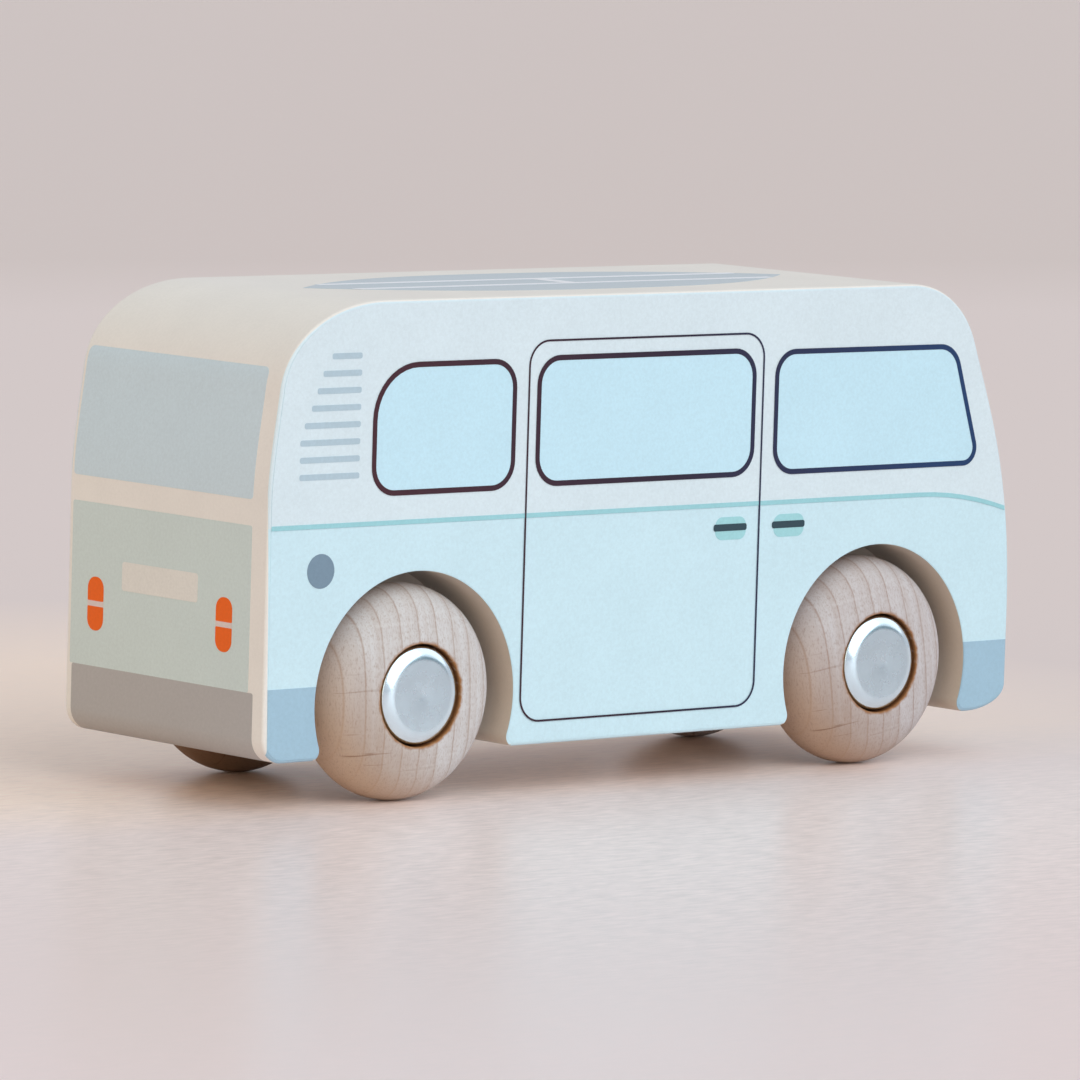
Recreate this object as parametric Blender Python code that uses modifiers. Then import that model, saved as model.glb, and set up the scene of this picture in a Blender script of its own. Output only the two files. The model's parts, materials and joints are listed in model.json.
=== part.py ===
"""Wooden toy campervan: a shaped block on four turned wheels, held by capped steel axles.

Lengths are in metres. +X is forward, +Y is the van's left side and +Z is up.
The origin is on the floor, below the middle of the block.
"""

import math

import bmesh
import bpy
from mathutils import Vector

MM = 0.001
COLLECTION_NAME = "toy_campervan"

# Block: overall sizes and edges
BODY_LENGTH = 120 * MM
BODY_WIDTH = 38 * MM
ROOF_Z = 60 * MM
UNDERSIDE_Z = 6 * MM
EDGE_ROUND = 0.4 * MM
NOSE_CORNER_RUN = 6.5 * MM
NOSE_CORNER_RISE = 3.2 * MM
TAIL_CORNER = 3.0 * MM

# Block: where the nose and the tail begin to lean, and where the roof begins
NOSE_LEAN_Z = 18 * MM
WINDSCREEN_TOP = (52.8 * MM, 52.5 * MM)
WINDSCREEN_SLOPE = 0.37  # run per rise at its top
ROOF_FRONT_X = 41.5 * MM
ROOF_REAR_X = -43 * MM
TAIL_TOP = (-58.5 * MM, 50 * MM)
TAIL_SLOPE = 0.13  # run per rise at its top
TAIL_LEAN_Z = 36 * MM

# Block: reach of each bend's two handles, in the order in which the outline runs
NOSE_BEND = (17 * MM, 10 * MM)
ROOF_FRONT_BEND = (4.6 * MM, 5.5 * MM)
ROOF_REAR_BEND = (8 * MM, 6 * MM)
TAIL_BEND = (4.9 * MM, 5 * MM)

# Running gear: places
AXLE_Z = 13 * MM
FRONT_AXLE_X = 37.5 * MM
REAR_AXLE_X = -36.8 * MM
WHEEL_Y = 15 * MM
POCKET_RADIUS = 15.3 * MM
POCKET_FLOOR_Y = 9 * MM
POCKET_DROP = 0.5 * MM  # the pockets' centres lie a little below and behind the axles
POCKET_SETBACK = 0.25 * MM

# Wheels: beech, with a rounded tread and a counterbore for the cap
WHEEL_RADIUS = 13 * MM
WHEEL_THICKNESS = 9.6 * MM
FACE_CROWN = 0.4 * MM
FACE_ROUND = 4.6 * MM
BACK_ROUND = 4.0 * MM
COUNTERBORE_RADIUS = 6.15 * MM
COUNTERBORE_DEPTH = 3.2 * MM
LIP_CHAMFER = 0.15 * MM

# Axles and what is pressed on them
AXLE_RADIUS = 2.4 * MM
AXLE_LENGTH = 39 * MM
AXLE_CHAMFER = 0.5 * MM
RUNNING_CLEARANCE = 0.2 * MM
SEAT_GAP = 0.3 * MM
CAP_RADIUS = 5.9 * MM
CAP_HEIGHT = 3.3 * MM
CAP_FACE_RADIUS = 4.3 * MM
CAP_EDGE_ROUND = 0.4 * MM
CAP_FLANK_LEAN = 57  # degrees from the axis
CAP_SHEET = 0.4 * MM
CAP_CRIMP = 0.5 * MM
RETAINER_SHEET = 0.35 * MM
RETAINER_RISE = 0.7 * MM
RETAINER_HINGE_RADIUS = 3.8 * MM
RETAINER_TIP_GAP = 0.1 * MM
RETAINER_RIM_GAP = 0.15 * MM
RETAINER_TEETH = 8
RETAINER_SLOT = 0.8 * MM
RETAINER_SLOT_CUT = 6 * MM
WASHER_RADIUS = 5.5 * MM
WASHER_THICKNESS = 0.6 * MM

# How finely round shapes are divided
CURVE_STEPS = 7
POCKET_SIDES = 72
BORE_SIDES = 32
WHEEL_STEPS = 48
SMALL_STEPS = 32
WHEEL_ROUND_STEPS = 5
CAP_ROUND_STEPS = 3

CIRCLE_HANDLE = 0.5523  # handle length of a quarter circle of radius 1
CUTTER_OVERRUN = 3 * MM
WELD = 1e-6
SHARP_ANGLE = math.radians(35)
LEFT, RIGHT = 1, -1
SIDE_NAMES = {LEFT: "left", RIGHT: "right"}


def clear_scene():
    for old in list(bpy.data.objects):
        bpy.data.objects.remove(old, do_unlink=True)


def new_collection(name):
    collection = bpy.data.collections.new(name)
    bpy.context.scene.collection.children.link(collection)
    return collection


def finish(name, colour, roughness, metallic=0.0):
    """A Principled BSDF material of one colour."""
    material = bpy.data.materials.new(name)
    material.use_nodes = True
    shader = material.node_tree.nodes["Principled BSDF"]
    shader.inputs["Base Color"].default_value = (*colour, 1.0)
    shader.inputs["Roughness"].default_value = roughness
    shader.inputs["Metallic"].default_value = metallic
    return material


def evaluated_mesh(source, name):
    """The mesh of an object with its modifiers applied. The object itself is removed."""
    bpy.context.view_layer.update()
    graph = bpy.context.evaluated_depsgraph_get()
    mesh = bpy.data.meshes.new_from_object(source.evaluated_get(graph))
    mesh.name = name
    bpy.data.objects.remove(source, do_unlink=True)
    return mesh


def weld(mesh):
    """Joins the loose caps of a filled curve to its sides."""
    work = bmesh.new()
    work.from_mesh(mesh)
    bmesh.ops.remove_doubles(work, verts=work.verts, dist=WELD)
    work.to_mesh(mesh)
    work.free()


def smooth(mesh):
    mesh.shade_smooth()
    mesh.set_sharp_from_angle(angle=SHARP_ANGLE)


def place(name, mesh, material, collection, parent=None, location=(0, 0, 0), side=None):
    """One piece. With a side, its local +Z points out of that side of the van."""
    piece = bpy.data.objects.new(name, mesh)
    collection.objects.link(piece)
    if not mesh.materials:
        mesh.materials.append(material)
    piece.parent = parent
    piece.location = location
    if side:
        piece.rotation_euler.x = -side * math.pi / 2
    return piece


def cutter_cylinder(name, radius, depth, location, sides, collection):
    """A cylinder along Y that only cuts."""
    bpy.ops.mesh.primitive_cylinder_add(
        vertices=sides, radius=radius, depth=depth, location=location, rotation=(math.pi / 2, 0, 0)
    )
    cutter = bpy.context.object
    cutter.name = name
    for home in list(cutter.users_collection):
        home.objects.unlink(cutter)
    collection.objects.link(cutter)
    cutter.hide_render = True
    cutter.display_type = "WIRE"
    return cutter


def cut(piece, cutter):
    boolean = piece.modifiers.new(f"Cut {cutter.name}", "BOOLEAN")
    boolean.operation = "DIFFERENCE"
    boolean.solver = "EXACT"
    boolean.object = cutter


def side_outline():
    """The van seen from its right side, from the tail's foot forward and round.

    Each row is a knot, the handle before it and the handle after it, as offsets; None is straight.
    """
    nose_x = BODY_LENGTH / 2
    tail_x = -BODY_LENGTH / 2
    corner_run = NOSE_CORNER_RUN * CIRCLE_HANDLE
    corner_rise = NOSE_CORNER_RISE * CIRCLE_HANDLE
    tail_corner = TAIL_CORNER * CIRCLE_HANDLE
    lean = Vector((-WINDSCREEN_SLOPE, 1))
    tail_lean = Vector((TAIL_SLOPE, 1))
    return [
        ((tail_x + TAIL_CORNER, UNDERSIDE_Z), (-tail_corner, 0), None),
        ((nose_x - NOSE_CORNER_RUN, UNDERSIDE_Z), None, (corner_run, 0)),
        ((nose_x, UNDERSIDE_Z + NOSE_CORNER_RISE), (0, -corner_rise), None),
        ((nose_x, NOSE_LEAN_Z), None, (0, NOSE_BEND[0])),
        (WINDSCREEN_TOP, -NOSE_BEND[1] * lean, ROOF_FRONT_BEND[0] * lean),
        ((ROOF_FRONT_X, ROOF_Z), (ROOF_FRONT_BEND[1], 0), None),
        ((ROOF_REAR_X, ROOF_Z), None, (-ROOF_REAR_BEND[0], 0)),
        (TAIL_TOP, ROOF_REAR_BEND[1] * tail_lean, -TAIL_BEND[0] * tail_lean),
        ((tail_x, TAIL_LEAN_Z), (0, TAIL_BEND[1]), None),
        ((tail_x, UNDERSIDE_Z + TAIL_CORNER), None, (0, -tail_corner)),
    ]


def block_mesh():
    """The outline as a filled 2D curve, as thick as the van is wide, with its long edges rounded."""
    curve = bpy.data.curves.new("body_outline", "CURVE")
    curve.dimensions = "2D"
    curve.fill_mode = "BOTH"
    curve.extrude = BODY_WIDTH / 2 - EDGE_ROUND
    curve.bevel_depth = EDGE_ROUND
    curve.bevel_resolution = 1
    curve.offset = -EDGE_ROUND
    curve.resolution_u = CURVE_STEPS
    outline = side_outline()
    spline = curve.splines.new("BEZIER")
    spline.bezier_points.add(len(outline) - 1)
    spline.use_cyclic_u = True
    for point, (knot, handle_in, handle_out) in zip(spline.bezier_points, outline):
        point.co = (*knot, 0)
        point.handle_left_type = "FREE" if handle_in else "VECTOR"
        point.handle_right_type = "FREE" if handle_out else "VECTOR"
        if handle_in:
            point.handle_left = point.co + Vector((*handle_in, 0))
        if handle_out:
            point.handle_right = point.co + Vector((*handle_out, 0))
    guide = bpy.data.objects.new("body_outline", curve)
    bpy.context.scene.collection.objects.link(guide)
    mesh = evaluated_mesh(guide, "body_block")
    weld(mesh)
    return mesh


def add_body(paint, collection, cutters):
    """The block, with a blind round pocket for each wheel and a bore through it for each axle."""
    body = place("body_block", block_mesh(), paint, collection)
    body.rotation_euler.x = math.pi / 2
    pocket_depth = BODY_WIDTH / 2 - POCKET_FLOOR_Y + CUTTER_OVERRUN
    bore_length = 2 * (POCKET_FLOOR_Y + CUTTER_OVERRUN)
    for end, axle_x in (("front", FRONT_AXLE_X), ("rear", REAR_AXLE_X)):
        for side in (LEFT, RIGHT):
            middle_y = side * (POCKET_FLOOR_Y + pocket_depth / 2)
            centre = (axle_x - POCKET_SETBACK, middle_y, AXLE_Z - POCKET_DROP)
            name = f"pocket_cutter_{end}_{SIDE_NAMES[side]}"
            cut(body, cutter_cylinder(name, POCKET_RADIUS, pocket_depth, centre, POCKET_SIDES, cutters))
        centre = (axle_x, 0, AXLE_Z)
        radius = AXLE_RADIUS + RUNNING_CLEARANCE
        cut(body, cutter_cylinder(f"bore_cutter_{end}", radius, bore_length, centre, BORE_SIDES, cutters))
    return body


def arc(centre, radius, start, end, steps):
    """Points of an arc from one angle to another, in degrees, as (radius, height)."""
    angles = [math.radians(start + (end - start) * step / steps) for step in range(steps + 1)]
    return [(centre[0] + radius * math.cos(a), centre[1] + radius * math.sin(a)) for a in angles]


def turned_mesh(name, section, steps):
    """A section of (radius, height) points, from its top down its outer side, turned round local Z."""
    mesh = bpy.data.meshes.new(name)
    on_axis = section[0][0] == 0 and section[-1][0] == 0
    count = len(section)
    edges = [(i, i + 1) for i in range(count - 1)]
    if not on_axis:
        edges.append((count - 1, 0))
    mesh.from_pydata([(radius, 0, height) for radius, height in section], edges, [])
    profile = bpy.data.objects.new(name, mesh)
    bpy.context.scene.collection.objects.link(profile)
    screw = profile.modifiers.new("Turn", "SCREW")
    screw.steps = steps
    screw.render_steps = steps
    screw.use_merge_vertices = True
    screw.merge_threshold = WELD
    turned = evaluated_mesh(profile, name)
    smooth(turned)
    return turned


def wheel_mesh():
    """Bored and counterbored disc with a slightly crowned face and well rounded edges."""
    lip = WHEEL_THICKNESS / 2
    back = -WHEEL_THICKNESS / 2
    shoulder = lip - FACE_CROWN
    floor = lip - COUNTERBORE_DEPTH
    bore = AXLE_RADIUS + RUNNING_CLEARANCE
    section = [
        (bore, floor),
        (COUNTERBORE_RADIUS, floor),
        (COUNTERBORE_RADIUS, lip - LIP_CHAMFER),
        (COUNTERBORE_RADIUS + LIP_CHAMFER, lip),
    ]
    face_centre = (WHEEL_RADIUS - FACE_ROUND, shoulder - FACE_ROUND)
    back_centre = (WHEEL_RADIUS - BACK_ROUND, back + BACK_ROUND)
    section += arc(face_centre, FACE_ROUND, 90, 0, WHEEL_ROUND_STEPS)
    section += arc(back_centre, BACK_ROUND, 0, -90, WHEEL_ROUND_STEPS)
    section.append((bore, back))
    return turned_mesh("wheel", section, WHEEL_STEPS)


def axle_mesh():
    """Straight pin with chamfered ends."""
    half = AXLE_LENGTH / 2
    section = [
        (0, half),
        (AXLE_RADIUS - AXLE_CHAMFER, half),
        (AXLE_RADIUS, half - AXLE_CHAMFER),
        (AXLE_RADIUS, -half + AXLE_CHAMFER),
        (AXLE_RADIUS - AXLE_CHAMFER, -half),
        (0, -half),
    ]
    return turned_mesh("axle", section, SMALL_STEPS)


def cap_mesh():
    """Cup drawn from thin sheet: a flat face, a leaning flank, a skirt and a mouth crimped inwards."""
    inner_radius = CAP_RADIUS - CAP_SHEET
    lean = math.radians(CAP_FLANK_LEAN)
    edge_centre = (CAP_FACE_RADIUS, CAP_HEIGHT - CAP_EDGE_ROUND)
    edge = arc(edge_centre, CAP_EDGE_ROUND, 90, CAP_FLANK_LEAN, CAP_ROUND_STEPS)
    flank_top = Vector(edge[-1])
    flank_drop = (CAP_RADIUS - flank_top.x) / math.tan(lean)
    skirt_top = flank_top.y - flank_drop
    inward = CAP_SHEET * Vector((math.cos(lean), math.sin(lean)))
    section = [(0, CAP_HEIGHT)] + edge
    section += [
        (CAP_RADIUS, skirt_top),
        (CAP_RADIUS, 0),
        (inner_radius - CAP_CRIMP, 0),
        (inner_radius - CAP_CRIMP, CAP_SHEET),
        (inner_radius, CAP_SHEET),
        (inner_radius, skirt_top - inward.y / 2),
        tuple(flank_top - inward),
        (CAP_FACE_RADIUS, CAP_HEIGHT - CAP_SHEET),
        (0, CAP_HEIGHT - CAP_SHEET),
    ]
    return turned_mesh("hub_cap", section, SMALL_STEPS)


def retainer_mesh():
    """Spring steel ring whose dished teeth bite on the axle: a coned ring with slots across it."""
    rim = CAP_RADIUS - CAP_SHEET - RETAINER_RIM_GAP
    tip = AXLE_RADIUS + RETAINER_TIP_GAP
    section = [
        (RETAINER_HINGE_RADIUS, RETAINER_SHEET),
        (rim, RETAINER_SHEET),
        (rim, 0),
        (RETAINER_HINGE_RADIUS, 0),
        (tip, RETAINER_RISE),
        (tip, RETAINER_RISE + RETAINER_SHEET),
    ]
    ring = bpy.data.objects.new("retaining_ring", turned_mesh("coned_ring", section, SMALL_STEPS))
    bpy.context.scene.collection.objects.link(ring)
    slots = []
    for index in range(RETAINER_TEETH // 2):
        bpy.ops.mesh.primitive_cube_add(size=1)
        slot = bpy.context.object
        slot.scale = (2 * RETAINER_HINGE_RADIUS, RETAINER_SLOT, RETAINER_SLOT_CUT)
        slot.rotation_euler.z = (index + 0.5) * 2 * math.pi / RETAINER_TEETH
        slot.hide_render = True
        cut(ring, slot)
        slots.append(slot)
    mesh = evaluated_mesh(ring, "retaining_ring")
    for slot in slots:
        bpy.data.objects.remove(slot, do_unlink=True)
    return mesh


def washer_mesh():
    bore = AXLE_RADIUS + RUNNING_CLEARANCE
    half = WASHER_THICKNESS / 2
    section = [(bore, half), (WASHER_RADIUS, half), (WASHER_RADIUS, -half), (bore, -half)]
    return turned_mesh("spacer_washer", section, SMALL_STEPS)


def axle_line(name, axle_x, collection):
    """An empty on the line that an axle and its wheels turn about."""
    line = bpy.data.objects.new(name, None)
    line.empty_display_size = BODY_WIDTH / 2
    line.location = (axle_x, 0, AXLE_Z)
    collection.objects.link(line)
    return line


def add_running_gear(materials, collection):
    """Both axles, each with a washer, a wheel, a retaining ring and a cap at either end."""
    counterbore_floor_y = WHEEL_Y + WHEEL_THICKNESS / 2 - COUNTERBORE_DEPTH
    cap_y = counterbore_floor_y + SEAT_GAP
    retainer_y = cap_y + CAP_SHEET + RETAINER_RIM_GAP
    washer_y = POCKET_FLOOR_Y + SEAT_GAP + WASHER_THICKNESS / 2
    fittings = (
        ("wheel", wheel_mesh(), "beech", WHEEL_Y),
        ("hub_cap", cap_mesh(), "cap_steel", cap_y),
        ("retaining_ring", retainer_mesh(), "spring_steel", retainer_y),
        ("spacer_washer", washer_mesh(), "washer_steel", washer_y),
    )
    pin = axle_mesh()
    for end, axle_x in (("front", FRONT_AXLE_X), ("rear", REAR_AXLE_X)):
        line = axle_line(f"{end}_axle_line", axle_x, collection)
        place(f"{end}_axle", pin, materials["axle_steel"], collection, line, side=LEFT)
        for side in (LEFT, RIGHT):
            for kind, mesh, material, out in fittings:
                name = f"{end}_{SIDE_NAMES[side]}_{kind}"
                place(name, mesh, materials[material], collection, line, (0, side * out, 0), side)


def main():
    clear_scene()
    parts = new_collection(COLLECTION_NAME)
    cutters = new_collection(f"{COLLECTION_NAME}_cutters")
    cutters.hide_render = True
    materials = {
        "paint": finish("cream_paint", (0.76, 0.70, 0.62), 0.5),
        "beech": finish("bare_beech", (0.60, 0.46, 0.36), 0.6),
        "axle_steel": finish("axle_steel", (0.55, 0.55, 0.56), 0.35, 1.0),
        "cap_steel": finish("cap_steel", (0.72, 0.74, 0.76), 0.3, 1.0),
        "spring_steel": finish("spring_steel", (0.30, 0.30, 0.32), 0.4, 1.0),
        "washer_steel": finish("washer_steel", (0.60, 0.61, 0.62), 0.4, 1.0),
    }
    add_body(materials["paint"], parts, cutters)
    add_running_gear(materials, parts)


main()
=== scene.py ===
"""Looks of a wooden toy campervan: painted block, printed sides, turned beech wheels and steel caps.

Lengths are in metres. +X is forward, +Y is the van's left side and +Z is up.
"""

import json
import math

import bmesh
import bpy
from mathutils import Matrix, Vector
from mathutils.geometry import interpolate_bezier, tessellate_polygon

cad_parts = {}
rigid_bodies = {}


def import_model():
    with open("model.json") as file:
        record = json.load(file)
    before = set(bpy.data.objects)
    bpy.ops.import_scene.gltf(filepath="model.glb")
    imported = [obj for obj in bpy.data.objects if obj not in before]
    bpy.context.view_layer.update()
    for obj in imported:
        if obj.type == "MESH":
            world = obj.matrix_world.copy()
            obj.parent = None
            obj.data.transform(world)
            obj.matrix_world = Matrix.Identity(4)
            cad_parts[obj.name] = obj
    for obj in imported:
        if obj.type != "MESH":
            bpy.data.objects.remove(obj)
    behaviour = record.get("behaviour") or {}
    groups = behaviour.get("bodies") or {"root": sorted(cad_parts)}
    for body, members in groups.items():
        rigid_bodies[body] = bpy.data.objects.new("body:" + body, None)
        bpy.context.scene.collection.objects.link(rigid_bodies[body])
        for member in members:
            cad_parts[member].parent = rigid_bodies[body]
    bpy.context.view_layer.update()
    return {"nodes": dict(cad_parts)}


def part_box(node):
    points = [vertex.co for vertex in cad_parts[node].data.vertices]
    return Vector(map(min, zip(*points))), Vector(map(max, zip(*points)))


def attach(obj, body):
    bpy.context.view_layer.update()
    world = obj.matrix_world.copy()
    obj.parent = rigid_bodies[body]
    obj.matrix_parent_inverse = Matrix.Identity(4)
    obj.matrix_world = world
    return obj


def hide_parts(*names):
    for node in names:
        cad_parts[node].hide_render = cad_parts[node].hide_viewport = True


MM = 0.001
LEFT, RIGHT = 1, -1
SIDE_NAMES = {LEFT: "left", RIGHT: "right"}

# Block: the outline's named sizes, as in the construction
EDGE_ROUND = 0.4 * MM
NOSE_CORNER_RUN = 6.5 * MM
NOSE_CORNER_RISE = 3.2 * MM
TAIL_CORNER = 3.0 * MM
NOSE_LEAN_Z = 18 * MM
WINDSCREEN_TOP = (52.8 * MM, 52.5 * MM)
WINDSCREEN_SLOPE = 0.37
ROOF_FRONT_X = 41.5 * MM
ROOF_REAR_X = -43 * MM
TAIL_TOP = (-58.5 * MM, 50 * MM)
TAIL_SLOPE = 0.13
TAIL_LEAN_Z = 36 * MM
NOSE_BEND = (17 * MM, 10 * MM)
ROOF_FRONT_BEND = (4.6 * MM, 5.5 * MM)
ROOF_REAR_BEND = (8 * MM, 6 * MM)
TAIL_BEND = (4.9 * MM, 5 * MM)
CIRCLE_HANDLE = 0.5523

# Pockets
POCKET_RADIUS = 15.3 * MM
POCKET_FLOOR_Y = 9 * MM
POCKET_DROP = 0.5 * MM
POCKET_SETBACK = 0.25 * MM
POCKET_CORNER = 1.2 * MM  # round where a pocket meets the underside
RIM_SOFTENING = 0.1 * MM
RUNNING_CLEARANCE = 0.2 * MM
CUT_OVERRUN = 3 * MM
CUT_RUNOUT = 5  # degrees at which a pocket's cutter leaves the underside
SOFTENED_ANGLE = math.radians(50)  # edges sharper than this are softened

# Wheels and caps
WHEEL_FACE_CROWN = 0.4 * MM
WHEEL_FACE_ROUND = 4.6 * MM
WHEEL_BACK_ROUND = 4.0 * MM
WHEEL_ROUND_START = 84  # degrees, where the crowned face turns into its round edge
COUNTERBORE_RADIUS = 6.15 * MM
COUNTERBORE_DEPTH = 3.2 * MM
LIP_ROUND = 0.15 * MM
CAP_FACE_RADIUS = 4.15 * MM
CAP_EDGE_ROUND = 2.0 * MM
CAP_FLANK_LEAN = 57  # degrees from the axis
CAP_SHEET = 0.4 * MM
CAP_CRIMP = 0.5 * MM
CAP_KNUCKLE = 0.7 * MM
CAP_DIMPLE_RADIUS = 0.5 * MM
CAP_DIMPLE_DEPTH = 0.03 * MM

# Print: thickness of one layer, and how far the sides' colour runs onto their rounded edges
INK_LAYER = 0.03 * MM
INK_GAP = 0.004 * MM
SIDE_WRAP = 0.33 * MM
ROOF_WRAP = 0.06 * MM
WRAP_LOW_Z, WRAP_HIGH_Z = 50 * MM, 57 * MM  # heights between which the wrap narrows
PRINT_REAR_LOW = (-59.35 * MM, 8 * MM)  # the sides' print ends on a line that leans back as it rises
PRINT_REAR_HIGH = (-59.96 * MM, 36 * MM)
BELT_Z = 33.7 * MM
BELT_BEND_X = 44 * MM
BELT_BEND = 10.3  # drop per square of the distance past the bend, per metre
BELT_THICKNESS = 0.55 * MM
BELT_NOSE_X = 60 * MM
BELT_NOSE_DROP = 2.4 * MM  # fall of the colours on the rounded edge, from the bend to the nose
PANE_OUTLINE = 0.65 * MM
DOOR_OUTLINE = 0.24 * MM
SIDE_BUMPER_TOP = 14.8 * MM
END_BUMPER_TOP = 14.2 * MM
BUMPER_TUCK = 3.4 * MM  # how far the end bumpers run down round the lower corner
TAIL_PRINT_SHIFT = 1.1 * MM  # the tail's print sits a little to the left

# Colours on screen, from 0 to 255
# The two pocket colours are painted shade on the cream paint: browner near the rims, greyer further in.
PAINTS = {"cream": (233, 229, 225), "pocket": (212, 197, 181), "pocket_deep_shade": (217, 211, 204)}
INKS = {
    "lower": (202, 231, 243),
    "upper": (214, 230, 239),
    "belt": (154, 208, 218),
    "pane": (195, 230, 246),
    "bumper_end": (160, 193, 214),
    "louvre": (177, 199, 213),
    "filler": (120, 144, 164),
    "patch": (160, 213, 221),
    "handle": (46, 70, 82),
    "tail_window": (203, 220, 231),
    "tail_panel": (204, 217, 217),
    "tail_bumper": (176, 173, 173),
    "plate": (224, 222, 218),
    "lamp": (236, 100, 0),
    "lamp_gap": (219, 203, 200),
    "roof": (192, 203, 213),
    "roof_stripe": (236, 238, 246),
}
INK_ROUGHNESS = 0.52

# Wood of each wheel: the turn of its grain in degrees, which also turns its side of painted shade, and its
# tone. The brown tone is painted shade on the rear left wheel.
PALE, GREY, PAINTED_SHADE_BROWN = (1.0, 1.0, 1.0), (0.92, 0.89, 0.9), (0.5, 0.41, 0.34)
WHEEL_WOOD = {
    ("front", LEFT): (52, GREY),
    ("front", RIGHT): (350, GREY),
    ("rear", LEFT): (85, PAINTED_SHADE_BROWN),
    ("rear", RIGHT): (358, PALE),
}

# Floor: the spots and the direction that its colours are laid out by. Round the first spot a pool of light
# is painted, round the second painted warm fill light in the van's shade.
FLOOR_RADIUS = 6.0
PAINTED_LIGHT_SPOT = (-33 * MM, -48 * MM, 0)
PAINTED_FILL_SPOT = (-20 * MM, 40 * MM, 0)
BEHIND = (0.3, 0.95, 0)

# Camera: where the photograph was taken from, and what its axis passes
VIEW_AZIMUTH = math.radians(-40.83)
VIEW_ELEVATION = math.radians(5.69)
VIEW_ROLL = math.radians(1.71)
VIEW_DISTANCE = 1006.5 * MM
AIM_RIGHT = -1.37 * MM
AIM_UP = 27.9 * MM
SENSOR = 36
LENS = 272.3

# Fineness
WELD = 1e-6
SNAP = 1e-7
SHARP_ANGLE = math.radians(35)
OUTLINE_STEPS = 28
BORE_SIDES = 64
FLOOR_SIDES = 96
TURNED_STEPS = 144
ARC_STEPS = 10
BELT_STEPS = 48
ROOF_STEPS = 80


def clear_scene():
    for old in list(bpy.data.objects):
        bpy.data.objects.remove(old, do_unlink=True)


# Shader nodes

def srgb(*screen):
    """The linear colour of a screen colour given from 0 to 255."""
    return tuple(c / 255 / 12.92 if c <= 10 else ((c / 255 + 0.055) / 1.055) ** 2.4 for c in screen)


def tint(colour, factor):
    return tuple(min(1.0, c * factor) for c in colour)


def add(tree, kind, inputs=None, **settings):
    """A node with its settings, and its inputs as values or as links from other sockets."""
    node = tree.nodes.new(kind)
    for name, value in settings.items():
        setattr(node, name, value)
    for name, value in (inputs or {}).items():
        if isinstance(value, bpy.types.NodeSocket):
            tree.links.new(value, node.inputs[name])
        else:
            node.inputs[name].default_value = value
    return node


def new_material(name):
    material = bpy.data.materials.new(name)
    material.use_nodes = True
    tree = material.node_tree
    return material, tree, tree.nodes["Principled BSDF"]


def stretched(tree, place, scale):
    return add(tree, "ShaderNodeMapping", {"Vector": place, "Scale": scale}).outputs["Vector"]


def object_place(tree, scale=(1, 1, 1)):
    return stretched(tree, add(tree, "ShaderNodeTexCoord").outputs["Object"], scale)


def parts_of(tree, place):
    return add(tree, "ShaderNodeSeparateXYZ", {0: place}).outputs


def distance(tree, place, spot=(0, 0, 0)):
    return add(tree, "ShaderNodeVectorMath", {0: place, 1: spot}, operation="DISTANCE").outputs["Value"]


def along(tree, place, direction):
    """How far a place lies in a direction."""
    inputs = {0: place, 1: direction}
    return add(tree, "ShaderNodeVectorMath", inputs, operation="DOT_PRODUCT").outputs["Value"]


def noise(tree, place, scale=1.0, detail=2.0, roughness=0.5):
    inputs = {"Vector": place, "Scale": scale, "Detail": detail, "Roughness": roughness}
    return add(tree, "ShaderNodeTexNoise", inputs).outputs["Fac"]


def maths(tree, operation, first, second=0.0, clamp=False):
    inputs = {0: first, 1: second}
    return add(tree, "ShaderNodeMath", inputs, operation=operation, use_clamp=clamp).outputs[0]


def spread(tree, value, low, high, to_low=0.0, to_high=1.0):
    """The value's stretch from low to high, moved to another stretch and kept within it."""
    inputs = {"Value": value, "From Min": low, "From Max": high, "To Min": to_low, "To Max": to_high}
    return add(tree, "ShaderNodeMapRange", inputs).outputs["Result"]


def ramp(tree, value, stops):
    """A colour ramp with (place, colour) stops."""
    node = add(tree, "ShaderNodeValToRGB", {"Fac": value})
    elements = node.color_ramp.elements
    for index, (place, colour) in enumerate(stops):
        element = elements[index] if index < 2 else elements.new(place)
        element.position = place
        element.color = (*colour, 1.0)
    return node.outputs["Color"]


def blend_colour(tree, factor, first, second, mode="MIX"):
    inputs = {0: factor}
    for index, colour in ((6, first), (7, second)):
        inputs[index] = colour if isinstance(colour, bpy.types.NodeSocket) else (*colour, 1.0)
    return add(tree, "ShaderNodeMix", inputs, data_type="RGBA", blend_type=mode).outputs[2]


def bump(tree, shader, height, strength, depth):
    inputs = {"Height": height, "Strength": strength, "Distance": depth}
    tree.links.new(add(tree, "ShaderNodeBump", inputs).outputs["Normal"], shader.inputs["Normal"])


# Paint and ink

def coat(tree, shader, base, roughness, mottle, speckle):
    """Satin paint or ink on wood: slow clouds, a fine speckle and a slightly uneven film."""
    place = object_place(tree)
    clouds = noise(tree, place, 140.0, 3.0)
    specks = noise(tree, place, 2600.0, 2.0, 0.6)
    slow = spread(tree, clouds, 0.3, 0.7, 1 - mottle, 1 + mottle)
    fine = spread(tree, specks, 0.3, 0.7, -speckle, speckle)
    shaded = blend_colour(tree, 1.0, base, maths(tree, "ADD", slow, fine), "MULTIPLY")
    tree.links.new(shaded, shader.inputs["Base Color"])
    rough = spread(tree, clouds, 0.3, 0.7, roughness - 0.05, roughness + 0.05)
    tree.links.new(rough, shader.inputs["Roughness"])
    shader.inputs["Specular IOR Level"].default_value = 0.35
    grain = noise(tree, object_place(tree, (60, 900, 900)), 1.0, 3.0)
    film = noise(tree, place, 1500.0)
    height = maths(tree, "ADD", maths(tree, "MULTIPLY", grain, 0.7), maths(tree, "MULTIPLY", film, 0.3))
    bump(tree, shader, height, 0.1, 0.03 * MM)


def ink_material(name, colour):
    material, tree, shader = new_material(f"ink_{name}")
    coat(tree, shader, colour, INK_ROUGHNESS, 0.012, 0.035)
    return material


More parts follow.
